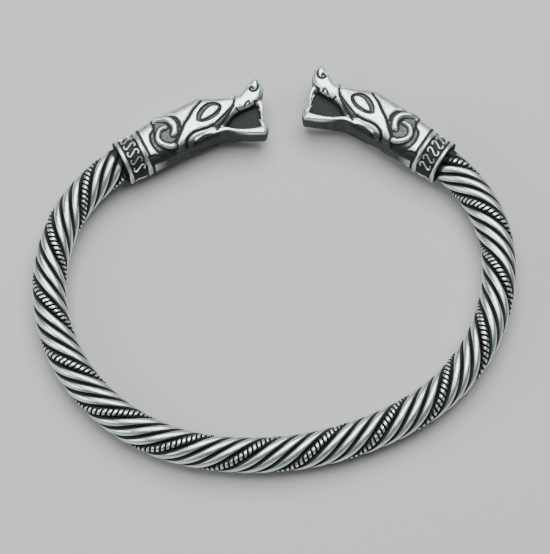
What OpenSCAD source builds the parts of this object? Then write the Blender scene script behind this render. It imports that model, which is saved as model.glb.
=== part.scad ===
// An open arm ring of twisted silver wire that ends in two cast beast heads.
// It lies flat: +X runs across its widest way, +Y points out past the heads, +Z is up.

/* [Rod] */
// Diameter over the twisted wires
rod_d = 5.2; // [5.1:0.1:5.4]
// Diameter of each of the six plain wires
plain_wire_d = 1.27; // [1.1:0.01:1.28]
// Diameter over each of the two milled wires
milled_wire_d = 1.23; // [1.1:0.01:1.26]
// Diameter of the rod inside the twist
core_d = 2.42; // [2:0.02:2.44]
// Length of rod in which a wire goes once round it
twist_pitch = 20.1; // [20:0.1:26]

/* [Heads] */
// Diameter over the rims of each head's collar
rim_d = 7; // [6.6:0.1:7.4]
// Distance between the middles of a collar's two rims
rim_gap = 3.1; // [2.8:0.1:3.4]
// Number of S-scrolls round each collar
scroll_count = 16; // [12:1:17]
// Angle by which each head turns in from the end of the rod
head_turn = 5; // [0:0.5:6]

/* [Seats] */
// How far the twisted wires run into a collar
wire_seat = 0.6; // [0.3:0.1:1]
// How far the core runs into a head
core_seat = 2.4; // [1.5:0.1:3]
// Diameter of the pocket that the wires sit in
pocket_d = 5.6; // [5.5:0.1:5.8]
// Diameter of the hole that the core sits in
core_hole_d = 3; // [2.8:0.1:3.4]

/* [Hidden] */
wire_count = 8;
plain_count = 6;
milled_count = 2;
wires_per_band = wire_count / milled_count;

// Centreline of the rod, from the left collar round the far side to the right collar,
// as arcs that run on from each other: [radius, sweep in degrees]
bends = [
    [22, 50.5],
    [25.5, 44.5],
    [28, 44.5],
    [45.5, 39],
    [27.5, 54.5],
    [21, 56.5],
];
bend_count = len(bends);
start_point = [-23, 16.16];
start_heading = 212;

function outward(heading) = [sin(heading), -cos(heading)];
function bend_length(i) = bends[i][0] * bends[i][1] * PI / 180;
function run_before(i) = i == 0 ? 0 : run_before(i - 1) + bend_length(i - 1);
function heading_before(i) = i == 0 ? start_heading : heading_before(i - 1) + bends[i - 1][1];
function point_before(i) = i == 0 ? start_point : point_before(i - 1)
    + bends[i - 1][0] * (outward(heading_before(i)) - outward(heading_before(i - 1)));
runs = [for (i = [0:bend_count]) run_before(i)];
headings = [for (i = [0:bend_count]) heading_before(i)];
points = [for (i = [0:bend_count]) point_before(i)];
rod_length = runs[bend_count];

// Bend, heading and place of the centreline at the distance s from the left collar
function bend_at(s) = max([0, for (i = [0:bend_count - 1]) if (s >= runs[i]) i]);
function heading_at(s) = let (i = bend_at(s)) headings[i] + (s - runs[i]) / bends[i][0] * 180 / PI;
function point_at(s) = let (i = bend_at(s))
    points[i] + bends[i][0] * (outward(heading_at(s)) - outward(headings[i]));

// The wires: where their middles lie, how steeply they wind, and how they are meshed
lay_radius = rod_d / 2 - max(plain_wire_d, milled_wire_d) / 2;
lay_angle = atan(2 * PI * lay_radius / twist_pitch);
twist_start = -38;
wire_sides = 6;
wire_spans = 78;
wire_step = (rod_length + 2 * wire_seat) / wire_spans;
core_sides = 8;
core_spans = 44;

// Collar: its rims, the floor of its band and the scrolls on it
rim_r = rim_d / 2;
rim_w = 0.66;
rim_crown_w = 0.36;
rim_edge_r = rim_r - 0.25;
neck_r = 2.95;
band_r = 3.12;
collar_fn = scroll_count;
band_flat_r = band_r * cos(180 / collar_fn);
scroll_hook_r = 0.32;
scroll_hook_at = 0.58;
scroll_hook_angles = [-80:60:100];
scroll_w = 0.26;
scroll_h = 0.3;
scroll_foot = -0.15;

// The side of a head that faces the wrist is filed flat, and has no scrolls
wrist_flat = 3.2;
flat_depth = 1;
bare_angle = 20;

// Room left past the ends of the wires and of the core
pocket_room = 0.3;
core_room = 0.4;
core_hole_fn = 20;

// The skull from the collar to the nose, in the head's own frame: the distance along the head,
// the crown, the underside (the roof of the mouth from 16.6 on) and half the thickness
skull_rows = [
    [2.7, 2.95, -2.95, 2.8],
    [3.9, 3.4, -3.2, 2.95],
    [6, 3.75, -3.15, 3],
    [9, 3.95, -3.05, 2.95],
    [12, 4.1, -3, 2.85],
    [14.2, 4.1, -3, 2.75],
    [15.6, 3.75, -2.8, 2.65],
    [16.6, 3.15, -2.15, 2.5],
    [18, 2.55, -1.25, 2.3],
    [19.4, 1.85, -1, 2.1],
    [20.6, 1.95, -1, 1.95],
    [21.8, 2.65, -1, 1.85],
    [22.8, 3.1, -0.8, 1.75],
    [23.9, 3.3, 0.4, 1.6],
    [24.5, 2.7, 1.3, 1],
];
// The lower jaw, from inside the cheek to the chin, in the same columns
jaw_rows = [
    [11, -1.6, -3.05, 2.3],
    [14, -1.9, -3.1, 2.35],
    [16, -2.4, -3.35, 2.25],
    [17.4, -3.4, -4.1, 2.1],
    [19, -4.1, -4.9, 1.95],
    [20.3, -4.45, -5.55, 1.8],
    [21.2, -4.5, -6.1, 1.65],
    [22.1, -4.3, -5.2, 1.2],
];
section_sides = 16;
section_squareness = 0.62;

// The wall between the two sides of the mouth: distance along the head, and height
mouth_web_w = 0.9;
mouth_web = [[15.5, -1.5], [18, -0.8], [22.3, -0.6], [21.9, -2.8], [21.4, -5], [18, -4.4], [15.5, -3.2]];

// The eye: its middle on the side of the head, its slant and its sizes. The eyeball is an almond
// that rises from its root, straight to its brim, and then narrows to a flat on its crown.
eye_at = [14.95, 0.55];
eye_slant = 15;
eye_len = 3.5;
eye_w = 1.5;
eye_root = 1;
eye_brim = 2.7;
eye_crown = 3;
eye_flat_len = 1.9;
eye_flat_w = 0.68;
eye_flat_h = 0.1;
socket_len = 4.7;
socket_w = 2.6;
socket_floor = 2.35;
socket_depth = 2;
almond_fn = 24;

// Raised lines on each side of the head: middle of the arc, radius, first and last angle,
// width, height at which the line stands and height of its foot
carved_arcs = [
    [7.75, 1.1, 1.55, 98, -66, 0.55, 3.3, 2.5],
    [7.4, -0.4, 1.5, 70, 252, 0.5, 3.3, 2.5],
];
arc_spans = 6;
// Raised straight ridges: from, to, width, top and foot
carved_ridges = [
    [[19.2, 0.2], [15.2, -2.3], 0.6, 2.6, 1.7],
];

// Fangs: root, tip, root radius and distance out from the middle of the head
upper_fang = [[22.75, -0.9], [21.95, -3.05], 0.36, 1.3];
lower_fang = [[21.4, -4.6], [21.35, -3.35], 0.34, 1.15];
fang_tip_r = 0.12;
fang_fn = 6;

// Curled nose, the crest over the brow, and how they are meshed
nose_at = [23.5, 2.35];
nose_r = 1;
nose_out = 0.75;
crest = [[17.1, 2.6], [20.35, 2.45]];
crest_root_r = 0.7;
crest_tip_r = 0.15;
nose_fn = 8;

// Colours of the polished metal and of the darkened metal
silver = [0.75, 0.77, 0.76];
dark_silver = [0.62, 0.64, 0.63];

// The ring lies on its far side and on its two collars, which are thicker than the rod
far_steps = 200;
far_y = min([for (i = [0:far_steps]) point_at(rod_length * i / far_steps)[1]]);
lean = asin((rim_r - rod_d / 2) / (start_point[1] - far_y));
rest_z = rod_d / 2 - far_y * sin(lean);

module resting() {
    translate([0, 0, rest_z]) rotate([lean, 0, 0]) children();
}

// A closed solid through rings of points, each with the same number of points
module loft(rings) {
    n = len(rings[0]);
    last = (len(rings) - 1) * n;
    sides = [
        for (i = [0:len(rings) - 2], j = [0:n - 1])
            let (a = i * n + j, b = i * n + (j + 1) % n)
                each [[a, b, a + n], [b, b + n, a + n]]
    ];
    polyhedron(
        points = [for (ring = rings) each ring],
        faces = concat([[for (j = [n - 1:-1:0]) j]], sides, [[for (j = [0:n - 1]) last + j]])
    );
}

// One wire's ring of points at the distance s, as a polygon across the rod
function wire_ring(s, turn, d) =
    let (
        heading = heading_at(s),
        out = outward(heading),
        around = twist_start + turn + 360 * s / twist_pitch,
        radial = [cos(around) * out[0], cos(around) * out[1], sin(around)],
        along = [-sin(around) * out[0], -sin(around) * out[1], cos(around)],
        middle = [point_at(s)[0], point_at(s)[1], 0] + lay_radius * radial
    )
    [
        for (k = [0:wire_sides - 1])
            let (a = 360 * k / wire_sides)
                middle + d / 2 * (cos(a) * radial + sin(a) / cos(lay_angle) * along)
    ];

module wire(turn, d) {
    resting() loft([for (i = [0:wire_spans]) wire_ring(i * wire_step - wire_seat, turn, d)]);
}

// Three plain wires lie on each side between the two milled ones
module plain_wire(i) {
    band = floor((i - 1) / (wires_per_band - 1));
    place = band * wires_per_band + 1 + (i - 1) % (wires_per_band - 1);
    color(silver) wire(place * 360 / wire_count, plain_wire_d);
}

module milled_wire(i) {
    color(dark_silver) wire((i - 1) * 360 / milled_count, milled_wire_d);
}

// The core's ring of points at the distance s
function core_ring(s) =
    let (out = outward(heading_at(s)), middle = point_at(s))
    [
        for (k = [0:core_sides - 1])
            let (a = 360 * k / core_sides)
                [middle[0], middle[1], 0] + core_d / 2 * [cos(a) * out[0], cos(a) * out[1], sin(a)]
    ];

module core_rod() {
    core_step = (rod_length + 2 * core_seat) / core_spans;
    color(dark_silver) resting() loft([for (i = [0:core_spans]) core_ring(i * core_step - core_seat)]);
}

// The collar: two rims with a sunk band between them, turned round the head's axis
module collar() {
    rotate([90, 0, 90]) rotate_extrude($fn = collar_fn) polygon([
        [0, -rim_w / 2],
        [rim_edge_r, -rim_w / 2],
        [rim_r, -rim_crown_w / 2],
        [rim_r, rim_crown_w / 2],
        [band_r, rim_w / 2],
        [band_r, rim_gap - rim_w / 2],
        [rim_r, rim_gap - rim_crown_w / 2],
        [rim_r, rim_gap + rim_crown_w / 2],
        [neck_r, rim_gap + rim_w / 2],
        [0, rim_gap + rim_w / 2],
    ]);
}

// A raised line along a path: each point has the point itself and the way that is up there
function ridge_rings(path, ups, width, foot, top) = [
    for (i = [0:len(path) - 1])
        let (
            way = path[min(i + 1, len(path) - 1)] - path[max(i - 1, 0)],
            side = cross(ups[i], way) / norm(cross(ups[i], way)) * width / 2
        )
        [
            path[i] + side + foot * ups[i],
            path[i] - side + foot * ups[i],
            path[i] + top * ups[i],
        ]
];

// One S laid on the band: half of it is an open hook, and the other half is the same turned round
module scroll(around) {
    hook = [
        for (a = scroll_hook_angles)
            [scroll_hook_at + scroll_hook_r * cos(a), -scroll_hook_r * sin(a)]
    ];
    s_line = concat(hook, [for (i = [len(hook) - 1:-1:0]) -hook[i]]);
    way = [0, cos(around), sin(around)];
    along = [0, -sin(around), cos(around)];
    path = [for (p = s_line) [rim_gap / 2 + p[0], 0, 0] + band_flat_r * way + p[1] * along];
    ways = [for (p = s_line) way];
    loft(ridge_rings(path, ways, scroll_w, scroll_foot, scroll_h));
}

// One section of the skull or jaw, rounder than a box and squarer than an oval
function head_ring(row) =
    let (middle = (row[1] + row[2]) / 2, half = (row[1] - row[2]) / 2)
    [
        for (k = [0:section_sides - 1])
            let (a = -360 * (k + 0.5) / section_sides, c = cos(a), s = sin(a))
                [
                    row[0],
                    middle + half * sign(c) * pow(abs(c), section_squareness),
                    row[3] * sign(s) * pow(abs(s), section_squareness)
                ]
    ];

// An almond outline, as two arcs that meet in points
module almond(length, width) {
    arc_r = (pow(length / 2, 2) + pow(width / 2, 2)) / width;
    intersection() {
        translate([0, arc_r - width / 2]) circle(r = arc_r, $fn = almond_fn);
        translate([0, width / 2 - arc_r]) circle(r = arc_r, $fn = almond_fn);
    }
}

module at_eye() {
    translate([eye_at[0], eye_at[1], 0]) rotate([0, 0, eye_slant]) children();
}

module eye() {
    at_eye() hull() {
        translate([0, 0, eye_root]) linear_extrude(eye_brim - eye_root) almond(eye_len, eye_w);
        translate([0, 0, eye_crown - eye_flat_h]) linear_extrude(eye_flat_h)
            almond(eye_flat_len, eye_flat_w);
    }
}

module socket() {
    at_eye() translate([0, 0, socket_floor]) linear_extrude(socket_depth)
        almond(socket_len, socket_w);
}

module carved_arc(row) {
    step = (row[4] - row[3]) / arc_spans;
    path = [
        for (i = [0:arc_spans])
            let (a = row[3] + i * step)
                [row[0] + row[2] * cos(a), row[1] + row[2] * sin(a), 0]
    ];
    loft(ridge_rings(path, [for (p = path) [0, 0, 1]], row[5], row[7], row[6]));
}

module carved_ridge(row) {
    path = [for (p = [row[0], row[1]]) [p[0], p[1], 0]];
    loft(ridge_rings(path, [for (p = path) [0, 0, 1]], row[2], row[4], row[3]));
}

module fang(row) {
    hull() {
        translate([row[0][0], row[0][1], row[3]]) sphere(r = row[2], $fn = fang_fn);
        translate([row[1][0], row[1][1], row[3]]) sphere(r = fang_tip_r, $fn = fang_fn);
    }
}

// What stands out from one side of the head
module side_relief() {
    eye();
    for (row = carved_arcs) carved_arc(row);
    for (row = carved_ridges) carved_ridge(row);
    fang(upper_fang);
    fang(lower_fang);
}

module nose_and_crest() {
    hull() {
        for (way = [-1, 1])
            translate([nose_at[0], nose_at[1], way * nose_out]) sphere(r = nose_r, $fn = nose_fn);
    }
    hull() {
        translate([crest[0][0], crest[0][1], 0]) sphere(r = crest_root_r, $fn = nose_fn);
        translate([crest[1][0], crest[1][1], 0]) sphere(r = crest_tip_r, $fn = nose_fn);
    }
}

module scrolls() {
    for (i = [0:scroll_count - 1])
        let (around = 360 * (i + 0.5) / scroll_count)
            if (abs(around - 180) > bare_angle) scroll(around);
}

// A whole head, along +X from the middle of its rear rim, with its crown towards +Y
module head() {
    difference() {
        union() {
            collar();
            scrolls();
            difference() {
                union() {
                    loft([for (row = skull_rows) head_ring(row)]);
                    loft([for (row = jaw_rows) head_ring(row)]);
                }
                socket();
                mirror([0, 0, 1]) socket();
            }
            linear_extrude(mouth_web_w, center = true) polygon(mouth_web);
            side_relief();
            mirror([0, 0, 1]) side_relief();
            nose_and_crest();
        }
        translate([-rim_w, 0, 0]) rotate([0, 90, 0])
            cylinder(d = pocket_d, h = rim_w + wire_seat + pocket_room, $fn = collar_fn);
        translate([-rim_w, 0, 0]) rotate([0, 90, 0])
            cylinder(d = core_hole_d, h = rim_w + core_seat + core_room, $fn = core_hole_fn);
        translate([-rim_w, -wrist_flat - flat_depth, -rim_d / 2])
            cube([rim_gap + 2 * rim_w, flat_depth, rim_d]);
    }
}

module head_left() {
    color(silver) resting() translate([points[0][0], points[0][1], 0])
        rotate([0, 0, start_heading - 180 - head_turn]) head();
}

module head_right() {
    end = points[bend_count];
    color(silver) resting() translate([end[0], end[1], 0])
        rotate([0, 0, headings[bend_count] + head_turn]) mirror([0, 1, 0]) head();
}

core_rod();
head_left();
head_right();
for (i = [1:plain_count])
    plain_wire(i);
for (i = [1:milled_count])
    milled_wire(i);
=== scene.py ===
import math

import bpy
import numpy as np
from mathutils import Matrix, Vector


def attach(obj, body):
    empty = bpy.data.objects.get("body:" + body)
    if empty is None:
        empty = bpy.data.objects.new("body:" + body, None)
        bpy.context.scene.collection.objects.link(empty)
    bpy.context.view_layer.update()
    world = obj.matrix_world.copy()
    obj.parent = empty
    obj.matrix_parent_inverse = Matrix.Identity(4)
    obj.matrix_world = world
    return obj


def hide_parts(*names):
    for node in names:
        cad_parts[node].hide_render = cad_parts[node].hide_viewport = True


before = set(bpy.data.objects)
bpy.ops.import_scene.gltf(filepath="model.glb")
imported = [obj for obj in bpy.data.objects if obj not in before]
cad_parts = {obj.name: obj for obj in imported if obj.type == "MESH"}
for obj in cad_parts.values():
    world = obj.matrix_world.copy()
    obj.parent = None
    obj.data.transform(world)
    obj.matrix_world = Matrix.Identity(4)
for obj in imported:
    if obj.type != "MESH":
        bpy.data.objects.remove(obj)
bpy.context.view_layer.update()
bpy.ops.object.select_all(action="DESELECT")

# The ring as a whole. It lies on its rod opposite the gap and on the collars of its two heads,
# and is looked at steeply from the side away from the gap. It is shown on a pale floor under
# a broad soft light, like a bright overcast sky, and a weaker one from the left.
MM = 0.001
LOOK_AT = Vector((0, -1.14, 0)) * MM
CAMERA_DISTANCE = 280 * MM
CAMERA_ELEVATION = math.radians(68)
CAMERA_LENS = 121.3
back = Vector((0, -math.cos(CAMERA_ELEVATION), math.sin(CAMERA_ELEVATION)))
bpy.ops.object.camera_add(location=LOOK_AT + back * CAMERA_DISTANCE)
camera = bpy.context.object
camera.rotation_mode = "QUATERNION"
camera.rotation_quaternion = (-back).to_track_quat("-Z", "Y")
camera.data.lens = CAMERA_LENS
camera.data.clip_start = 10 * MM
bpy.context.scene.camera = camera

FLOOR_SIZE = 6.0
FLOOR_COLOUR = (0.52, 0.52, 0.51, 1)
FLOOR_ROUGHNESS = 0.9
bpy.ops.mesh.primitive_plane_add(size=FLOOR_SIZE)
floor = bpy.context.object
floor.name = "floor"
floor_material = bpy.data.materials.new("pale_floor")
floor_material.use_nodes = True
floor_shader = floor_material.node_tree.nodes["Principled BSDF"]
floor_shader.inputs["Base Color"].default_value = FLOOR_COLOUR
floor_shader.inputs["Roughness"].default_value = FLOOR_ROUGHNESS
floor.data.materials.append(floor_material)

# place, size and power of each soft light
SOFT_LIGHTS = {
    "sky_light": ((0.04, 0.22, 0.57), 0.6, 7.0),
    "left_light": ((-0.6, -0.1, 0.35), 0.35, 2.0),
}
for light_name, (place, size, power) in SOFT_LIGHTS.items():
    bpy.ops.object.light_add(type="AREA", location=place)
    light = bpy.context.object
    light.name = light_name
    light.data.size = size
    light.data.energy = power
    light.rotation_mode = "QUATERNION"
    light.rotation_quaternion = (-Vector(place)).to_track_quat("-Z", "Y")
ROOM_COLOUR = (0.5, 0.52, 0.53, 1)
ROOM_STRENGTH = 0.3
world = bpy.data.worlds.new("dim_room")
world.use_nodes = True
room_light = world.node_tree.nodes["Background"].inputs
room_light["Color"].default_value = ROOM_COLOUR
room_light["Strength"].default_value = ROOM_STRENGTH
bpy.context.scene.world = world

# The metal's finish. The silver is blackened all over and then rubbed bright again, so that
# the black stays wherever the polish can't reach. Each piece says in its "wear" attribute
# how much rubbing a spot has had, and on the heads the same attribute also darkens the downward
# faces as painted shade. The finish frays the edge between bright and black.
BRIGHT_SILVER = (0.82, 0.88, 0.88, 1)
COOL_SILVER = (0.63, 0.79, 0.765, 1)
PIT_GREY = (0.2, 0.21, 0.21, 1)
# black patina, which also stands in as painted shade on the heads' downward faces
BLACK_PATINA_AND_SHADE = (0.028, 0.031, 0.032, 1)
# from black to bright: where the wear turns, and how much duller and less metallic black is
WEAR_TURNS = (0.22, 0.78)
BLACK_DULLER = 0.42
BLACK_METALLIC, METALLIC_FROM = 0.55, 0.6
# size and turn of the noises: cool clouds, fine specks and small pits
CLOUD_SCALE, CLOUD_TURNS = 1.1, (0.42, 0.66)
SPECK_SCALE, SPECK_TURNS, SPECK_DULLNESS, SPECK_HEIGHT = 7.0, (0.3, 0.7), (-0.07, 0.1), 0.35
PIT_SCALE, PIT_COLOUR_TURNS, PIT_HEIGHT_TURNS, PIT_DEPTH = 2.4, (0.6, 0.72), (0.58, 0.72), 0.6
SILVER_IN_PIT = 0.2
finish = bpy.data.node_groups.new("rubbed_silver", "ShaderNodeTree")
for socket, kind, value in (
    ("Wear", "NodeSocketFloat", 1.0),
    ("Place", "NodeSocketVector", (0, 0, 0)),
    ("Fray", "NodeSocketFloat", 0.35),
    ("Grain Size", "NodeSocketFloat", 9.0),
    ("Dullness", "NodeSocketFloat", 0.24),
):
    made = finish.interface.new_socket(socket, in_out="INPUT", socket_type=kind)
    made.default_value = value
for socket, kind in (
    ("Color", "NodeSocketColor"),
    ("Roughness", "NodeSocketFloat"),
    ("Metallic", "NodeSocketFloat"),
    ("Height", "NodeSocketFloat"),
):
    finish.interface.new_socket(socket, in_out="OUTPUT", socket_type=kind)


def add_node(tree, kind, inputs=None, **settings):
    """A node of that kind, with its settings, and its inputs linked or set."""
    node = tree.nodes.new(kind)
    for name, value in settings.items():
        setattr(node, name, value)
    for name, value in (inputs or {}).items():
        if isinstance(value, bpy.types.NodeSocket):
            tree.links.new(value, node.inputs[name])
        else:
            node.inputs[name].default_value = value
    return node


def blend_colours(tree, share, first, second, blend="MIX"):
    """The colour that goes from first to second with share."""
    mixer = add_node(tree, "ShaderNodeMix", data_type="RGBA", blend_type=blend)
    for index, value in ((0, share), (6, first), (7, second)):
        if isinstance(value, bpy.types.NodeSocket):
            tree.links.new(value, mixer.inputs[index])
        else:
            mixer.inputs[index].default_value = value
    return mixer.outputs[2]


def between(tree, value, low, high, to_low=0.0, to_high=1.0):
    """The value, from low to high, turned smoothly into to_low to to_high."""
    ramp = add_node(
        tree,
        "ShaderNodeMapRange",
        {"Value": value, "From Min": low, "From Max": high, "To Min": to_low, "To Max": to_high},
        interpolation_type="SMOOTHSTEP",
    )
    return ramp.outputs["Result"]


given = finish.nodes.new("NodeGroupInput").outputs
result = finish.nodes.new("NodeGroupOutput").inputs
stain = add_node(
    finish,
    "ShaderNodeTexNoise",
    {"Vector": given["Place"], "Scale": given["Grain Size"], "Detail": 4.0, "Roughness": 0.65},
)
cloud, speck, pit = (
    add_node(
        finish,
        "ShaderNodeTexNoise",
        {"Vector": given["Place"], "Scale": scale, "Detail": detail, "Roughness": roughness},
    )
    for scale, detail, roughness in (
        (CLOUD_SCALE, 2.0, 0.5),
        (SPECK_SCALE, 3.0, 0.5),
        (PIT_SCALE, 5.0, 0.7),
    )
)


def calculate(tree, operation, first, second):
    """The result of the operation on two values."""
    return add_node(tree, "ShaderNodeMath", {0: first, 1: second}, operation=operation).outputs[0]


off_middle = calculate(finish, "SUBTRACT", stain.outputs["Fac"], 0.5)
fraying = calculate(finish, "MULTIPLY", off_middle, given["Fray"])
frayed = calculate(finish, "ADD", given["Wear"], fraying)
rubbed = between(finish, frayed, *WEAR_TURNS)
cool = between(finish, cloud.outputs["Fac"], *CLOUD_TURNS)
silver_colour = blend_colours(finish, cool, BRIGHT_SILVER, COOL_SILVER)
pitted = between(finish, pit.outputs["Fac"], *PIT_COLOUR_TURNS, 1.0, SILVER_IN_PIT)
pitted_colour = blend_colours(finish, pitted, PIT_GREY, silver_colour)
finish.links.new(blend_colours(finish, rubbed, BLACK_PATINA_AND_SHADE, pitted_colour), result["Color"])
uneven = between(finish, speck.outputs["Fac"], *SPECK_TURNS, *SPECK_DULLNESS)
black_dull = between(finish, rubbed, 0.0, 1.0, BLACK_DULLER, 0.0)
dull = calculate(finish, "ADD", given["Dullness"], uneven)
finish.links.new(calculate(finish, "ADD", dull, black_dull), result["Roughness"])
finish.links.new(between(finish, rubbed, 0.0, METALLIC_FROM, BLACK_METALLIC, 1.0), result["Metallic"])
specks = calculate(finish, "MULTIPLY", speck.outputs["Fac"], SPECK_HEIGHT)
pits = between(finish, pit.outputs["Fac"], *PIT_HEIGHT_TURNS, PIT_DEPTH, 0.0)
finish.links.new(calculate(finish, "ADD", specks, pits), result["Height"])
DENT_DEPTH = 0.06 * MM


def silver_material(name, fray, grain, dullness, bump, place_attribute=None, wear=None):
    """Rubbed silver that reads its piece's wear, or one wear for all of it."""
    material = bpy.data.materials.new(name)
    material.use_nodes = True
    tree = material.node_tree
    shader = tree.nodes["Principled BSDF"]
    if place_attribute:
        place = add_node(tree, "ShaderNodeAttribute", attribute_name=place_attribute).outputs["Vector"]
    else:
        spot = add_node(tree, "ShaderNodeTexCoord").outputs["Object"]
        in_mm = add_node(tree, "ShaderNodeMapping", {"Vector": spot, "Scale": (1 / MM,) * 3})
        place = in_mm.outputs["Vector"]
    if wear is None:
        wear = add_node(tree, "ShaderNodeAttribute", attribute_name="wear").outputs["Fac"]
    rubbed_silver = add_node(
        tree,
        "ShaderNodeGroup",
        {"Wear": wear, "Place": place, "Fray": fray, "Grain Size": grain, "Dullness": dullness},
        node_tree=finish,
    )
    for socket, target in (("Color", "Base Color"), ("Roughness", "Roughness"), ("Metallic", "Metallic")):
        tree.links.new(rubbed_silver.outputs[socket], shader.inputs[target])
    dents = add_node(
        tree,
        "ShaderNodeBump",
        {"Height": rubbed_silver.outputs["Height"], "Strength": bump, "Distance": DENT_DEPTH},
    )
    tree.links.new(dents.outputs["Normal"], shader.inputs["Normal"])
    return material


# The bend. The rod is twisted up straight and then bent cold round a former, so its middle
# line runs in arcs that carry on from each other in one plane. The bent ring leans a little,
# because its collars are thicker than the rod.
BENDS = ((22, 50.5), (25.5, 44.5), (28, 44.5), (45.5, 39), (27.5, 54.5), (21, 56.5))
LEFT_END = np.array((-23.0, 16.16))
LEFT_HEADING = 212
ROD_D = 5.2
RIM_R = 3.5
ROD_RUN_ON = 4.0
GUIDE_STEP = 0.4


def outward(heading):
    """The way out of the ring, across a rod that runs along the heading in degrees."""
    return np.array((math.sin(math.radians(heading)), -math.cos(math.radians(heading))))


bend_starts = [(0.0, LEFT_HEADING, LEFT_END)]
for radius, sweep in BENDS:
    run, heading, point = bend_starts[-1]
    turned = point + radius * (outward(heading + sweep) - outward(heading))
    bend_starts.append((run + radius * math.radians(sweep), heading + sweep, turned))
ROD_LENGTH, RIGHT_HEADING, RIGHT_END = bend_starts[-1]


def rod_point(run):
    """Place of the rod's middle at that distance from the left collar, in millimetres."""
    i = max([0] + [k for k in range(len(BENDS)) if run >= bend_starts[k][0]])
    start, heading, point = bend_starts[i]
    radius = BENDS[i][0]
    here = heading + math.degrees((run - start) / radius)
    return point + radius * (outward(here) - outward(heading))


far_y = min(rod_point(run)[1] for run in np.linspace(0, ROD_LENGTH, 201))
LEAN = math.asin((RIM_R - ROD_D / 2) / (LEFT_END[1] - far_y))
REST_Z = ROD_D / 2 - far_y * math.sin(LEAN)
resting = Matrix.Scale(MM, 4) @ Matrix.Translation((0, 0, REST_Z)) @ Matrix.Rotation(LEAN, 4, "X")


def guide_curve(name, points, twist="Z_UP"):
    """A fine curve through the points, for a piece to be bent along."""
    data = bpy.data.curves.new(name, "CURVE")
    data.dimensions = "3D"
    data.twist_mode = twist
    data.use_stretch = False
    data.use_deform_bounds = False
    line = data.splines.new("POLY")
    line.points.add(len(points) - 1)
    for spot, place in zip(line.points, points):
        spot.co = (*place, 1)
    guide = bpy.data.objects.new(name, data)
    bpy.context.collection.objects.link(guide)
    return guide


guide_length = ROD_LENGTH + 2 * ROD_RUN_ON
guide_runs = np.linspace(-ROD_RUN_ON, ROD_LENGTH + ROD_RUN_ON, int(guide_length / GUIDE_STEP))
ring_guide = guide_curve("ring_guide", [(*rod_point(run), 0) for run in guide_runs])

# The plain wires. Six round drawn silver wires lie in two bands of three, twisted round
# the core in a long screw. Their ends are pushed into the collars of the heads. Handling has
# rubbed them bright along the outside, and they are black where they press on each other.
WIRE_D = 1.27
MILLED_WIRE_D = 1.23
TWIST_PITCH = 20.1
TWIST_START = -38
WIRE_SEAT = 0.6
BAND_WIRES = 3
WIRE_COUNT = 2 * (BAND_WIRES + 1)
LAY_RADIUS = ROD_D / 2 - WIRE_D / 2
LAY_ANGLE = math.atan(2 * math.pi * LAY_RADIUS / TWIST_PITCH)
WIRE_SIDES = 20
WIRE_STEPS = 330
# distances from the rod's middle line, and from the collars
BLACK_BELOW = 2.36
BRIGHT_ABOVE = 2.54
ROOT_BLACK_TO = 0.55
ROOT_BRIGHT_FROM = 2.1
DRAW_LINE_STRETCH = 0.16
SEED_STEP = 31
seated_length = ROD_LENGTH + 2 * WIRE_SEAT


def pick(piece):
    """Only the piece is selected, and it is the active object."""
    bpy.ops.object.select_all(action="DESELECT")
    piece.select_set(True)
    bpy.context.view_layer.objects.active = piece


def finish_with(piece, kind, **settings):
    """A modifier with those settings, applied."""
    pick(piece)
    modifier = piece.modifiers.new(kind.lower(), kind)
    for name, value in settings.items():
        setattr(modifier, name, value)
    bpy.ops.object.modifier_apply(modifier=modifier.name)


def set_attribute(piece, name, values):
    """The values as a point attribute of the piece's mesh."""
    kind = "FLOAT" if values.ndim == 1 else "FLOAT_VECTOR"
    field = "value" if values.ndim == 1 else "vector"
    attribute = piece.data.attributes.new(name, kind, "POINT")
    attribute.data.foreach_set(field, values.astype(np.float32).ravel())


def points_of(piece, field="co"):
    """The places of the piece's vertices as an array, or their normals."""
    flat = np.zeros(len(piece.data.vertices) * 3, np.float32)
    piece.data.vertices.foreach_get(field, flat)
    return flat.reshape(-1, 3).astype(float)


def smoothstep(value, low, high):
    """0 below low and 1 above high, smooth in between."""
    t = np.clip((value - low) / (high - low), 0, 1)
    return t * t * (3 - 2 * t)


def screwed_wire(name, sides, steps, off_axis, diameter, flatness, start, turn, length):
    """A round section, off the X axis, screwed along it through that turn and length."""
    bpy.ops.object.select_all(action="DESELECT")
    bpy.ops.mesh.primitive_circle_add(vertices=sides, radius=diameter / 2, rotation=(0, math.pi / 2, 0))
    wire = bpy.context.object
    wire.name = name
    bpy.ops.object.transform_apply(location=True, rotation=True, scale=True)
    wire.data.transform(Matrix.Diagonal((1, 1, flatness, 1)))
    wire.data.transform(Matrix.Translation((0, -off_axis, 0)))
    wire.data.transform(Matrix.Rotation(-start, 4, "X"))
    finish_with(
        wire, "SCREW", axis="X", angle=-turn, screw_offset=length, steps=steps, render_steps=steps,
        use_merge_vertices=False,
    )
    bpy.ops.object.mode_set(mode="EDIT")
    bpy.ops.mesh.select_all(action="SELECT")
    bpy.ops.mesh.fill_holes(sides=0)
    bpy.ops.mesh.normals_make_consistent(inside=False)
    bpy.ops.object.mode_set(mode="OBJECT")
    return wire


def wear_wire(wire, seed, share=1.0):
    """Rubbed bright where it stands furthest out, black at its ends, with draw lines along it."""
    laid = points_of(wire)
    out = np.hypot(laid[:, 1], laid[:, 2])
    from_end = np.minimum(laid[:, 0], seated_length - laid[:, 0]) - WIRE_SEAT
    clear = smoothstep(from_end, ROOT_BLACK_TO, ROOT_BRIGHT_FROM)
    set_attribute(wire, "wear", smoothstep(out, BLACK_BELOW, BRIGHT_ABOVE) * share * clear)
    turned = np.arctan2(laid[:, 2], -laid[:, 1]) - 2 * math.pi * laid[:, 0] / TWIST_PITCH
    drawn_out = laid[:, 0] * DRAW_LINE_STRETCH + SEED_STEP * seed
    grain = np.stack([drawn_out, out * np.cos(turned), out * np.sin(turned)], axis=1)
    set_attribute(wire, "drawn", grain)


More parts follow.
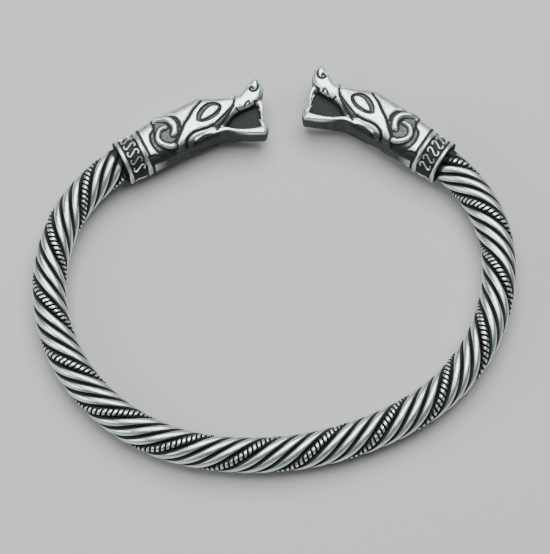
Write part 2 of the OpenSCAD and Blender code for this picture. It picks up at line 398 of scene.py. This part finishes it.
def bend_to_ring(wire):
    """Bends the straight wire round with the rod and lays it down in the ring's place."""
    wire.data.transform(Matrix.Translation((ROD_RUN_ON - WIRE_SEAT, 0, 0)))
    finish_with(wire, "CURVE", object=ring_guide, deform_axis="POS_X")
    wire.data.transform(resting)
    pick(wire)
    bpy.ops.object.shade_smooth()


plain_silver = silver_material(
    "plain_wire_silver", fray=0.25, grain=5.0, dullness=0.32, bump=0.5, place_attribute="drawn"
)
for number in range(1, 2 * BAND_WIRES + 1):
    band, place = divmod(number - 1, BAND_WIRES)
    lay = band * WIRE_COUNT // 2 + 1 + place
    around = TWIST_START + lay * 360 / WIRE_COUNT - 360 * WIRE_SEAT / TWIST_PITCH
    wire = screwed_wire(
        f"plain_wire_{number}_drawn",
        sides=WIRE_SIDES,
        steps=WIRE_STEPS,
        off_axis=LAY_RADIUS,
        diameter=WIRE_D,
        flatness=1 / math.cos(LAY_ANGLE),
        start=math.radians(around),
        turn=2 * math.pi * seated_length / TWIST_PITCH,
        length=seated_length,
    )
    wear_wire(wire, number)
    bend_to_ring(wire)
    wire.data.materials.append(plain_silver)
    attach(wire, "root")
    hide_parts(f"plain_wire_{number}")

# The milled wires. Each is two thin wires twisted tightly into one, so that it shows as a row
# of short slanting bars. It lies in the twist in place of every fourth plain wire, and the
# black stays between its bars.
PLY_GAP = 0.012
PLY_D = (MILLED_WIRE_D - PLY_GAP) / 2
PLY_OFF_AXIS = (PLY_D + PLY_GAP) / 2
PLY_PITCH = 1.42
PLY_SIDES = 8
PLY_STEPS_A_TURN = 12
BAR_BLACK_BELOW = 0.45
BAR_BRIGHT_ABOVE = 0.85
MILLED_SEED = 20
milled_length = seated_length / math.cos(LAY_ANGLE)
ply_turns = milled_length / PLY_PITCH
ply_angle = math.atan(math.pi * PLY_D / PLY_PITCH)
milled_silver = silver_material(
    "milled_wire_silver", fray=0.25, grain=6.0, dullness=0.3, bump=0.5, place_attribute="drawn"
)
for number in range(1, 3):
    around = TWIST_START + (number - 1) * 180
    plies = [
        screwed_wire(
            f"milled_wire_{number}_twisted",
            sides=PLY_SIDES,
            steps=int(PLY_STEPS_A_TURN * ply_turns),
            off_axis=PLY_OFF_AXIS,
            diameter=PLY_D,
            flatness=1 / math.cos(ply_angle),
            start=ply * math.pi,
            turn=2 * math.pi * ply_turns,
            length=milled_length,
        )
        for ply in range(2)
    ]
    for ply in plies:
        ply.select_set(True)
    bpy.context.view_layer.objects.active = plies[0]
    bpy.ops.object.join()
    wire = bpy.context.object
    straight = points_of(wire)
    winding = np.arctan2(straight[:, 2], -straight[:, 1]) - 2 * math.pi * straight[:, 0] / PLY_PITCH
    bars = smoothstep(np.abs(np.cos(winding)), BAR_BLACK_BELOW, BAR_BRIGHT_ABOVE)
    turns = [math.radians(around + 360 * run / TWIST_PITCH) for run in guide_runs]
    lay_guide = guide_curve(
        "lay_guide",
        [
            (run, -LAY_RADIUS * math.cos(turn), LAY_RADIUS * math.sin(turn))
            for run, turn in zip(guide_runs, turns)
        ],
        twist="MINIMUM",
    )
    wire.data.transform(Matrix.Translation(((ROD_RUN_ON - WIRE_SEAT) / math.cos(LAY_ANGLE), 0, 0)))
    finish_with(wire, "CURVE", object=lay_guide, deform_axis="POS_X")
    bpy.data.objects.remove(lay_guide)
    wire.data.transform(Matrix.Translation((WIRE_SEAT, 0, 0)))
    wear_wire(wire, MILLED_SEED + number, bars)
    bend_to_ring(wire)
    wire.data.materials.append(milled_silver)
    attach(wire, "root")
    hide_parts(f"milled_wire_{number}")
bpy.data.objects.remove(ring_guide)

# The core. A plain round rod that the wires are twisted over. It only shows as black metal
# in the cracks between them, so the solid that carries the ring is kept as it is.
CORE_WEAR = 0.06
core_black = silver_material("core_black", fray=0.2, grain=9.0, dullness=0.3, bump=0.6, wear=CORE_WEAR)
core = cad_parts["core_rod"]
for slot in core.material_slots:
    slot.material = core_black

# The heads. Each is one casting: a collar with two rims and a band of S-scrolls, a neck with
# a hooked volute, a slanting eye, and a gaping mouth with two pairs of fangs and a curled
# nose. One is modelled along +X in millimetres, its crown towards +Y, and the other mirrors it.
# distance along the head, crown, underside, half the thickness
SKULL_ROWS = (
    (2.7, 2.95, -2.95, 2.8),
    (3.9, 3.4, -3.2, 2.95),
    (6, 3.75, -3.15, 3),
    (9, 3.95, -3.05, 2.95),
    (12, 4.1, -3, 2.85),
    (14.2, 4.1, -3, 2.75),
    (15.6, 3.6, -2.8, 2.65),
    (16.6, 3.0, -2.15, 2.5),
    (18, 2.4, -1.25, 2.3),
    (19.4, 1.75, -1, 2.1),
    (20.6, 1.7, -1, 1.95),
    (21.8, 2.4, -1, 1.85),
    (22.8, 2.95, -0.8, 1.75),
    (23.9, 3.3, 0.4, 1.6),
    (24.5, 2.7, 1.3, 1),
)
JAW_ROWS = (
    (11, -1.6, -3.05, 2.3),
    (14, -1.9, -3.1, 2.35),
    (16, -2.4, -3.35, 2.25),
    (17.4, -3.4, -4.25, 2.1),
    (19, -4.1, -5.15, 1.95),
    (20.3, -4.45, -5.75, 1.8),
    (21.2, -4.5, -6.1, 1.65),
    (22.1, -4.3, -5.2, 1.2),
)
# the small spike of the brow, behind the nose
CREST_ROWS = ((16.5, 3.1, 2.2, 1.1), (18, 2.7, 1.9, 0.8), (19.3, 2.55, 1.9, 0.5), (20.35, 2.6, 2.3, 0.15))
SECTION_SIDES = 40
SKULL_SQUARENESS = 0.62
JAW_SQUARENESS = 0.46
# the wall between the two sides of the mouth
MOUTH_WEB = ((15.5, -1.5), (18, -0.8), (22.3, -0.6), (21.9, -2.8), (21.4, -5), (18, -4.4), (15.5, -3.2))
MOUTH_WEB_W = 0.9
# distance along, height, radius
UPPER_FANG = ((22.55, -0.4, 0.46), (22.68, -1.2, 0.42), (22.48, -2.1, 0.32), (22.0, -3.0, 0.13))
LOWER_FANG = ((21.4, -4.9, 0.42), (21.5, -4.3, 0.36), (21.5, -3.8, 0.27), (21.35, -3.35, 0.12))
UPPER_FANG_OUT = 1.3
LOWER_FANG_OUT = 1.15
NOSE_AT, NOSE_R, NOSE_STRETCH, NOSE_SIDES = (23.5, 2.35, 0), 1.0, 1.75, 32
CASTING_GRAIN = 0.092
ROW_STEPS = 3
PATH_STEPS = 4


def smooth_path(rows, steps):
    """A smooth path through the rows, with that many steps from each row to the next."""
    rows = np.array(rows, float)
    padded = np.concatenate([[2 * rows[0] - rows[1]], rows, [2 * rows[-1] - rows[-2]]])
    path = []
    for a, b, c, d in zip(padded, padded[1:], padded[2:], padded[3:]):
        for t in np.arange(steps) / steps:
            bend = (c - a) * t + (2 * a - 5 * b + 4 * c - d) * t**2 + (3 * b - a - 3 * c + d) * t**3
            path.append(b + bend / 2)
    return np.array([*path, rows[-1]])


def move_points(piece, points):
    """Moves the piece's vertices to those points."""
    piece.data.vertices.foreach_set("co", points.astype(np.float32).ravel())
    piece.data.update()


def swept_body(name, rows, squareness):
    """A squarish section pushed out from row to row, wider or narrower at each."""
    bpy.ops.object.select_all(action="DESELECT")
    bpy.ops.mesh.primitive_circle_add(
        vertices=SECTION_SIDES, radius=1, fill_type="NGON", rotation=(0, math.pi / 2, 0)
    )
    body = bpy.context.object
    body.name = name
    bpy.ops.object.transform_apply(location=True, rotation=True, scale=True)
    section = points_of(body)
    move_points(body, np.sign(section) * np.abs(section) ** squareness)
    bpy.ops.object.mode_set(mode="EDIT")
    bpy.ops.mesh.select_all(action="SELECT")
    before = None
    for along, top, bottom, half in rows:
        middle, rise = (top + bottom) / 2, (top - bottom) / 2
        if before is None:
            bpy.ops.transform.resize(value=(1, rise, half), center_override=(0, 0, 0))
            bpy.ops.transform.translate(value=(along, middle, 0))
        else:
            way = (along - before[0], middle - before[1], 0)
            bpy.ops.mesh.extrude_region_move(TRANSFORM_OT_translate={"value": way})
            growth = (1, rise / before[2], half / before[3])
            bpy.ops.transform.resize(value=growth, center_override=(along, middle, 0))
        before = (along, middle, rise, half)
    bpy.ops.mesh.select_all(action="SELECT")
    bpy.ops.mesh.normals_make_consistent(inside=False)
    bpy.ops.object.mode_set(mode="OBJECT")
    return body


def horn(name, path, side):
    """A round horn along the path, as thick at each point as its radius says."""
    data = bpy.data.curves.new(name, "CURVE")
    data.dimensions = "3D"
    data.bevel_depth = 1
    data.bevel_resolution = 3
    data.use_fill_caps = True
    line = data.splines.new("POLY")
    places = smooth_path(path, PATH_STEPS)
    line.points.add(len(places) - 1)
    for spot, (along, up, radius) in zip(line.points, places):
        spot.co = (along, up, side, 1)
        spot.radius = radius
    shape = bpy.data.objects.new(name, data)
    bpy.context.collection.objects.link(shape)
    pick(shape)
    bpy.ops.object.convert(target="MESH")
    return bpy.context.object


def plate(name, outline, thickness):
    """A flat plate with that outline, half its thickness on each side of the middle."""
    bpy.ops.object.select_all(action="DESELECT")
    bpy.ops.mesh.primitive_circle_add(vertices=len(outline), fill_type="NGON")
    sheet = bpy.context.object
    sheet.name = name
    move_points(sheet, np.array([(*spot, -thickness / 2) for spot in outline]))
    bpy.ops.object.mode_set(mode="EDIT")
    bpy.ops.mesh.select_all(action="SELECT")
    bpy.ops.mesh.extrude_region_move(TRANSFORM_OT_translate={"value": (0, 0, thickness)})
    bpy.ops.mesh.select_all(action="SELECT")
    bpy.ops.mesh.normals_make_consistent(inside=False)
    bpy.ops.object.mode_set(mode="OBJECT")
    return sheet


def merge_doubles(piece, distance):
    """Points of the piece that lie within that distance become one, and its faces look outward."""
    pick(piece)
    bpy.ops.object.mode_set(mode="EDIT")
    bpy.ops.mesh.select_all(action="SELECT")
    bpy.ops.mesh.remove_doubles(threshold=distance)
    bpy.ops.mesh.normals_make_consistent(inside=False)
    bpy.ops.object.mode_set(mode="OBJECT")


def join(pieces):
    """All the pieces as one mesh, under the first one's name."""
    pick(pieces[0])
    for piece in pieces:
        piece.select_set(True)
    bpy.ops.object.join()
    return bpy.context.object


bpy.ops.object.select_all(action="DESELECT")
bpy.ops.mesh.primitive_uv_sphere_add(
    segments=NOSE_SIDES, ring_count=NOSE_SIDES // 2, radius=NOSE_R, location=NOSE_AT,
    scale=(1, 1, NOSE_STRETCH),
)
nose = bpy.context.object
bpy.ops.object.transform_apply(location=True, rotation=True, scale=True)
fangs = [
    horn("fang", path, side * out)
    for path, out in ((UPPER_FANG, UPPER_FANG_OUT), (LOWER_FANG, LOWER_FANG_OUT))
    for side in (-1, 1)
]
casting = join([
    swept_body("head_left_cast", smooth_path(SKULL_ROWS, ROW_STEPS), SKULL_SQUARENESS),
    swept_body("jaw", smooth_path(JAW_ROWS, ROW_STEPS), JAW_SQUARENESS),
    swept_body("crest", smooth_path(CREST_ROWS, ROW_STEPS), SKULL_SQUARENESS),
    nose,
    plate("mouth_web", MOUTH_WEB, MOUTH_WEB_W),
    *fangs,
])
finish_with(casting, "REMESH", mode="VOXEL", voxel_size=CASTING_GRAIN)
finish_with(casting, "SMOOTH", factor=0.5, iterations=3)

# The carving of the heads. The lines and sunk grounds are cut into both sides of the casting,
# and two strokes, the hook and the volute on the neck, are raised in a sunk ground.
# points along and up the head
HOOK_OUTSIDE = ((8.2, 3.9), (8.85, 3.0), (9.78, 2.3), (10.1, 1.17), (9.9, 0.3))
HOOK_INSIDE = (
    (6.6, 3.3), (7.3, 2.7), (8.18, 1.95), (8.4, 0.95), (8.1, -0.3), (8.4, -0.75), (8.85, -0.4),
)
HOOK = ((6.9, 3.7), (7.8, 3.0), (8.65, 2.35), (9.05, 1.6), (9.12, 0.8), (8.75, -0.05), (8.45, -0.35))
VOLUTE = ((7.9, 1.15), (6.8, 1.1), (6.0, 0.1), (6.14, -1.03), (7.13, -1.97), (7.7, -2.1))
VOLUTE_OUTSIDE = ((6.5, 2.7), (6.1, 1.7), (5.55, 0.15), (5.7, -1.3), (6.6, -2.5), (7.2, -2.75))
NECK_LINE = (
    (6.2, 3.3), (6.2, 2.6), (6.07, 1.73), (5.17, 1.0), (4.8, -0.35), (5.1, -1.95), (6.0, -3.1),
    (6.5, -3.5),
)
CHEEK_LINE = (
    (15.2, 3.9), (14.5, 3.0), (13.0, 2.15), (11.6, 1.1), (10.4, 0.3), (9.3, -0.8), (8.2, -1.85),
    (7.0, -3.3),
)
SECOND_LINE = ((9.75, -0.1), (8.6, -1.1), (7.0, -2.6))
CHANNEL_REAR = (
    (19.6, 1.5), (19.05, 0.55), (18.15, -0.1), (17.2, -0.6), (16.05, -1.1), (15.0, -1.5), (14.4, -1.85),
)
CHANNEL_FRONT = ((18.9, 0.25), (18.6, -0.1), (17.6, -0.85), (16.55, -1.6), (15.6, -2.05), (14.7, -2.45))
JAW_LINE = (
    (14.6, -1.6), (13.3, -1.6), (12.3, -1.45), (11.4, -1.45), (10.5, -1.7), (9.75, -2.25), (9.3, -3.2),
)
LOWER_JAW_LINE = ((13.6, -2.8), (12.6, -2.6), (11.5, -2.75), (10.6, -3.0), (10.0, -3.4))
NECK_ARCH = ((3.3, -2.2), (4.25, -2.2), (4.95, -2.5), (5.5, -3.0), (5.6, -3.5))
LIP_LOOP = ((20.3, -0.7), (20.85, -0.25), (21.27, -0.18), (21.2, -0.66))
LIP_NOTCH = ((19.0, -0.5), (19.2, -0.95))
FANG_ROOT = ((22.0, -0.66), (22.6, -0.52), (23.35, -0.3))
NOSTRIL = (
    (22.82, 1.7), (22.78, 1.95), (22.54, 2.02), (22.34, 1.8), (22.42, 1.42), (22.72, 1.15), (23.14, 1.13),
    (23.56, 1.4), (23.88, 1.8), (24.1, 2.3),
)
# path, half the width of the cut, its depth
CUT_LINES = (
    (HOOK_OUTSIDE, 0.3, 0.4),
    (HOOK_INSIDE, 0.3, 0.42),
    (VOLUTE_OUTSIDE, 0.24, 0.42),
    (NECK_LINE, 0.27, 0.34),
    (CHEEK_LINE, 0.32, 0.42),
    (SECOND_LINE, 0.2, 0.36),
    (CHANNEL_REAR, 0.2, 0.34),
    (CHANNEL_FRONT, 0.2, 0.34),
    (JAW_LINE, 0.3, 0.45),
    (LOWER_JAW_LINE, 0.22, 0.3),
    (NECK_ARCH, 0.24, 0.34),
    (LIP_LOOP, 0.16, 0.22),
    (LIP_NOTCH, 0.16, 0.22),
    (NOSTRIL, 0.27, 0.36),
    (FANG_ROOT, 0.3, 0.2),
)
# outline of the sunk ground, its depth, and how bright it is rubbed
SUNK_GROUND = (
    ((*NECK_LINE[1:], *CHEEK_LINE[:3:-1], *HOOK_OUTSIDE[::-1]), 0.3, 0.36),
    ((*CHANNEL_REAR, *CHANNEL_FRONT[::-1]), 0.22, 0.36),
    ((*LOWER_JAW_LINE, (10.0, -4.0), (16.2, -4.0), (14.6, -3.0)), 0.06, 0.5),
    ((*NECK_ARCH, (3.3, -4.0)), 0.1, 0.34),
)
# half the width of each raised stroke at its start, middle and end, and how far it stands up
RAISED_STROKES = ((HOOK, (0.4, 0.46, 0.42), 0.22), (VOLUTE, (0.22, 0.38, 0.45), 0.22))
STROKE_MARGIN = 0.24
EYE_SOCKET = (
    (12.5, 0.1), (12.9, 0.85), (13.5, 1.42), (14.45, 1.92), (15.5, 2.07), (16.4, 1.77), (16.95, 1.2),
    (17.0, 0.65), (16.6, 0.1), (15.8, -0.42), (14.7, -0.68), (13.6, -0.62), (12.8, -0.3),
)
EYEBALL = (
    (13.1, 0.0), (13.5, 0.48), (14.1, 0.9), (14.8, 1.25), (15.6, 1.43), (16.25, 1.3), (16.65, 0.95),
    (16.55, 0.6), (16.1, 0.3), (15.4, 0.0), (14.4, -0.15), (13.6, -0.18),
)
EYE_DEPTH, EYE_RISE, EYE_SHOULDER = 0.24, 0.3, 0.25
EYE_LEDGE_WEAR = 0.33
# from where to where each turns, measured across its edge
GROUND_EDGE, LINE_EDGE, STROKE_EDGE = (0, 0.15), (0.25, 1.1), (-0.1, 0.1)
SOCKET_EDGE, LEDGE_EDGE, BALL_EDGE, LID_EDGE = (0, 0.12), (0.05, 0.2), (-0.02, 0.14), (0.02, 0.16)
HEAD_SIDES = (0.9, 1.7)


def near(spots, path):
    """Distance of each spot from the path, and the share of the path passed at that place."""
    nearest, passed = np.full(len(spots), np.inf), np.zeros(len(spots))
    for i, (start, end) in enumerate(zip(path, path[1:])):
        way = end - start
        share = np.clip((spots - start) @ way / (way @ way), 0, 1)
        gap = np.linalg.norm(spots - start - share[:, None] * way, axis=1)
        passed = np.where(gap < nearest, (i + share) / (len(path) - 1), passed)
        nearest = np.minimum(nearest, gap)
    return nearest, passed


def inside(spots, outline):
    """How far each spot lies inside the outline, negative outside it."""
    outline = np.array(outline)
    x, y = spots.T
    within = np.zeros(len(spots), bool)
    for (ax, ay), (bx, by) in zip(outline, np.roll(outline, -1, axis=0)):
        if ay != by:
            within ^= ((ay > y) != (by > y)) & (x < ax + (bx - ax) * (y - ay) / (by - ay))
    gap = near(spots, np.array([*outline, outline[0]]))[0]
    return np.where(within, gap, -gap)


def carved(spots):
    """How deep a side is cut at each spot, and how bright the spot is rubbed."""
    cut, bright = np.zeros(len(spots)), np.ones(len(spots))
    for outline, depth, shine in SUNK_GROUND:
        sunk = smoothstep(inside(spots, outline), *GROUND_EDGE)
        cut = np.maximum(cut, depth * sunk)
        bright = np.minimum(bright, 1 - (1 - shine) * sunk)
    for path, half, depth in CUT_LINES:
        line = 1 - smoothstep(near(spots, smooth_path(path, PATH_STEPS))[0] / half, *LINE_EDGE)
        cut = np.maximum(cut, depth * line)
        bright = np.minimum(bright, 1 - line)
    for path, halves, rise in RAISED_STROKES:
        gap, passed = near(spots, smooth_path(path, PATH_STEPS))
        half = np.interp(passed, (0, 0.5, 1), halves)
        on = np.sqrt(np.clip(1 - (gap / half) ** 3, 0, 1))
        cut = cut * (1 - on) - rise * on
        bright = np.where(gap - half < STROKE_MARGIN, smoothstep(half - gap, *STROKE_EDGE), bright)
    socket, ball = (
        inside(spots, smooth_path((*rim, rim[0]), PATH_STEPS)[:-1]) for rim in (EYE_SOCKET, EYEBALL)
    )
    dome = np.sqrt(1 - (1 - np.clip(ball / EYE_SHOULDER, 0, 1)) ** 2)
    cut = np.where(socket > 0, EYE_DEPTH * smoothstep(socket, *SOCKET_EDGE) - EYE_RISE * dome, cut)
    ledge = smoothstep(np.minimum(socket, -ball), *LEDGE_EDGE)
    eye_bright = np.where(ball > 0, smoothstep(ball, *BALL_EDGE), EYE_LEDGE_WEAR * ledge)
    bright = np.where(socket > 0, eye_bright, np.minimum(bright, smoothstep(-socket, *LID_EDGE)))
    return cut, bright


def side_share(spots):
    """1 on the sides of the head, and 0 along its crown and underside."""
    return smoothstep(np.abs(spots[:, 2]), *HEAD_SIDES)


# The wear of the heads, and painted shade. The mouth and the groove behind the collar stay black,
# and the fangs are rubbed bright. Faces that look down are darkened as painted shade, except
# along the lower lip and on the chin.
MOUTH = (
    (22.65, -0.77), (21.45, -1.0), (20.3, -1.05), (19.3, -0.97), (18.5, -1.13), (17.6, -1.48),
    (16.85, -1.82), (16.35, -2.23), (16.45, -2.65), (17.0, -3.2), (17.9, -3.77), (18.95, -4.13),
    (20.0, -4.4), (20.8, -4.55), (21.4, -4.4), (22.0, -3.7), (23.2, -3.4), (23.2, -0.9),
)
LOWER_LIP = (
    (15.6, -2.5), (16.5, -3.0), (17.6, -3.85), (19, -4.55), (20.3, -5.0), (21.4, -5.2), (22.1, -5.0),
)
LOWER_LIP_HALF = (0.34, 0.6, 1.05)
# from where to where each turns, across the edge, out to the sides, or along the head
MOUTH_EDGE, MOUTH_SIDES, MOUTH_BLACK = (-0.3, 0), (1.2, 1.55), 0.95
FANG_EDGE, FANG_SIDES, FANG_BELOW = (0.4, 0.55), (0.65, 0.85), (0.65, 0.95)
# the lower lip and the chin are left out of the painted shade on the downward faces
LIP_EDGE, LIP_SIDEWAYS = (0.7, 1.2), (0.25, 0.55)
CHIN_ALONG, CHIN_SIDES, CHIN_SPARED_FROM_SHADE = (16.5, 20), (1.0, 1.7), 0.75
# how far a face turns down to take painted shade, and how dark that painted shade is along the head
SHADE_FACING_DOWN, UNDERSIDE_SHADE_ALONG, UNDERSIDE_PAINTED_SHADE = (0.2, 0.75), (3.9, 4.1, 6), (0, 0.45, 0.7)
NECK_GROOVE_AT, NECK_GROOVE_EDGE = 3.7, (0.16, 0.3)


def casting_wear_and_shade(spots, normals, carving_wear):
    """How bright each spot of the casting is rubbed, with painted shade on its downward faces."""
    along, up, out = spots[:, 0], spots[:, 1], np.abs(spots[:, 2])
    wear = 1 - (1 - carving_wear) * side_share(spots)
    lip_gap, passed = near(spots[:, :2], smooth_path(LOWER_LIP, PATH_STEPS))
    on_lip = 1 - smoothstep(lip_gap / np.interp(passed, (0, 0.6, 1), LOWER_LIP_HALF), *LIP_EDGE)
    on_lip = on_lip * smoothstep(np.abs(normals[:, 2]), *LIP_SIDEWAYS)
    on_chin = smoothstep(along, *CHIN_ALONG) * smoothstep(out, *CHIN_SIDES) * CHIN_SPARED_FROM_SHADE
    # painted shade: faces that look down are darkened, except on the lower lip and the chin
    painted_underside_shade = smoothstep(-normals[:, 1], *SHADE_FACING_DOWN)
    painted_underside_shade = painted_underside_shade * np.interp(along, UNDERSIDE_SHADE_ALONG, UNDERSIDE_PAINTED_SHADE)
    wear = wear * (1 - painted_underside_shade * (1 - on_lip) * (1 - on_chin))
    in_mouth = smoothstep(inside(spots[:, :2], MOUTH), *MOUTH_EDGE) * (1 - smoothstep(out, *MOUTH_SIDES))
    wear = wear * (1 - MOUTH_BLACK * in_mouth)
    upper_gap, lower_gap = (
        near(spots[:, :2], np.array(fang)[:, :2])[0] for fang in (UPPER_FANG, LOWER_FANG)
    )
    fang_gap = np.minimum(upper_gap, lower_gap)
    on_fang = (1 - smoothstep(fang_gap, *FANG_EDGE)) * smoothstep(out, *FANG_SIDES)
    wear = wear + (1 - wear) * on_fang * smoothstep(-up, *FANG_BELOW)
    return wear * smoothstep(np.abs(along - NECK_GROOVE_AT), *NECK_GROOVE_EDGE)


spots, normals = points_of(casting), points_of(casting, "normal")
cut, carving_wear = carved(spots[:, :2])
# the casting's wear attribute also carries the painted shade on its downward faces
set_attribute(casting, "wear", casting_wear_and_shade(spots, normals, carving_wear))
move_points(casting, spots - normals * (cut * side_share(spots))[:, None])
finish_with(casting, "SMOOTH", factor=0.4, iterations=2)

# The collars. Each is cast in one with its head: two rims with a band of raised S-scrolls between
# them, and a pocket behind for the wires. The side on the wrist is filed flat, without scrolls.
RIM_GAP, RIM_W, BAND_R, NECK_R = 3.1, 0.66, 3.12, 2.95
POCKET_R, POCKET_END, CORE_HOLE_R = 2.8, 0.9, 1.5
COLLAR_SIDES = 128
SCROLL_COUNT, SCROLL_R, SCROLL_AT, SCROLL_W, SCROLL_H = 16, 0.32, 0.58, 0.28, 0.3
SCROLL_HOOK = range(-80, 121, 20)
WRIST_FLAT, BARE_ANGLE = 3.2, 20
FILED_DEPTH, FILED_W = 1, 8
# a rim's round: distance along, and below the rim's top
RIM_ROUND = ((-0.33, -0.3), (-0.3, -0.14), (-0.17, -0.02), (0, 0), (0.17, -0.02), (0.3, -0.14))
RIM_BLACK_BELOW, BAND_BLACK_ABOVE, WEAR_RISE, WEAR_SLACK = 0.14, 0.03, 0.12, 0.01
CLOSE_POINTS, UNION_CLOSE_POINTS = 1e-4, 2e-3

rim_half = RIM_W / 2
outline = [(run, RIM_R + rise) for run, rise in RIM_ROUND]
outline += [(rim_half, BAND_R), (RIM_GAP - rim_half, BAND_R)]
outline += [(RIM_GAP + run, RIM_R + rise) for run, rise in RIM_ROUND[1:]]
outline += [(RIM_GAP + rim_half, NECK_R), (RIM_GAP + rim_half, CORE_HOLE_R), (POCKET_END, CORE_HOLE_R)]
outline += [(POCKET_END, POCKET_R), (-rim_half, POCKET_R)]
bpy.ops.object.select_all(action="DESELECT")
bpy.ops.mesh.primitive_circle_add(vertices=len(outline), fill_type="NOTHING")
collar = bpy.context.object
collar.name = "collar"
move_points(collar, np.array([(run, radius, 0) for run, radius in outline]))
finish_with(
    collar, "SCREW", axis="X", angle=2 * math.pi, screw_offset=0, steps=COLLAR_SIDES,
    render_steps=COLLAR_SIDES, use_merge_vertices=True, merge_threshold=CLOSE_POINTS,
)
merge_doubles(collar, CLOSE_POINTS)

hook = [
    (SCROLL_AT + SCROLL_R * math.cos(math.radians(a)), -SCROLL_R * math.sin(math.radians(a)))
    for a in SCROLL_HOOK
]
s_line = hook + [(-run, -across) for run, across in hook[::-1]]
scroll = horn("scroll", [(run, across, SCROLL_W / 2) for run, across in s_line], 0)
merge_doubles(scroll, CLOSE_POINTS)
flat = points_of(scroll)
height = BAND_R + flat[:, 2] * SCROLL_H / (SCROLL_W / 2)
turn = flat[:, 1] / BAND_R
rolled = [RIM_GAP / 2 + flat[:, 0], height * np.cos(turn), height * np.sin(turn)]
move_points(scroll, np.stack(rolled, axis=1))
scrolls = []
for i in range(SCROLL_COUNT):
    around = 360 * (i + 0.5) / SCROLL_COUNT
    if abs(around - 180) > BARE_ANGLE:
        copy = scroll.copy()
        copy.data = scroll.data.copy()
        bpy.context.collection.objects.link(copy)
        copy.data.transform(Matrix.Rotation(math.radians(around), 4, "X"))
        scrolls.append(copy)
bpy.data.objects.remove(scroll)
scrolls = join(scrolls)
bpy.ops.object.select_all(action="DESELECT")
bpy.ops.mesh.primitive_cube_add(
    size=1, location=(RIM_GAP / 2, -WRIST_FLAT - FILED_DEPTH / 2, 0),
    scale=(RIM_GAP + 2 * RIM_W, FILED_DEPTH, FILED_W),
)
filed_off = bpy.context.object
bpy.ops.object.transform_apply(location=True, rotation=True, scale=True)
for operation, other in (("UNION", scrolls), ("DIFFERENCE", filed_off)):
    finish_with(collar, "BOOLEAN", operation=operation, object=other, solver="MANIFOLD")
    bpy.data.objects.remove(other)

spots = points_of(collar)
radius = np.hypot(spots[:, 1], spots[:, 2])
on_rim = np.minimum(np.abs(spots[:, 0]), np.abs(spots[:, 0] - RIM_GAP)) < rim_half + WEAR_SLACK
filed = spots[:, 1] < WEAR_SLACK - WRIST_FLAT
black_below = np.where(on_rim & ~filed, RIM_R - RIM_BLACK_BELOW, BAND_R + BAND_BLACK_ABOVE)
set_attribute(collar, "wear", smoothstep(radius, black_below, black_below + WEAR_RISE))
finish_with(casting, "BOOLEAN", operation="UNION", object=collar, solver="MANIFOLD")
bpy.data.objects.remove(collar)
merge_doubles(casting, UNION_CLOSE_POINTS)

# The two heads in their places. Each is set on an end of the rod and turned a little inward
# from it, so that they face each other across the gap. Their silver is pitted as cast.
cast_silver = silver_material("cast_silver", fray=0.45, grain=5.0, dullness=0.32, bump=1.0)
casting.data.materials.clear()
casting.data.materials.append(cast_silver)
right_casting = casting.copy()
right_casting.data = casting.data.copy()
right_casting.name = "head_right_cast"
bpy.context.collection.objects.link(right_casting)
HEAD_TURN = 5
SHARP_ANGLE = math.radians(55)
for head, node, end, turn, mirror in (
    (casting, "head_left", LEFT_END, LEFT_HEADING - 180 - HEAD_TURN, 1),
    (right_casting, "head_right", RIGHT_END, RIGHT_HEADING + HEAD_TURN, -1),
):
    at_end = Matrix.Translation((*end, 0)) @ Matrix.Rotation(math.radians(turn), 4, "Z")
    head.data.transform(resting @ at_end @ Matrix.Diagonal((1, mirror, 1, 1)))
    if mirror < 0:
        head.data.flip_normals()
    pick(head)
    bpy.ops.object.shade_smooth_by_angle(angle=SHARP_ANGLE)
    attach(head, "root")
    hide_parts(node)
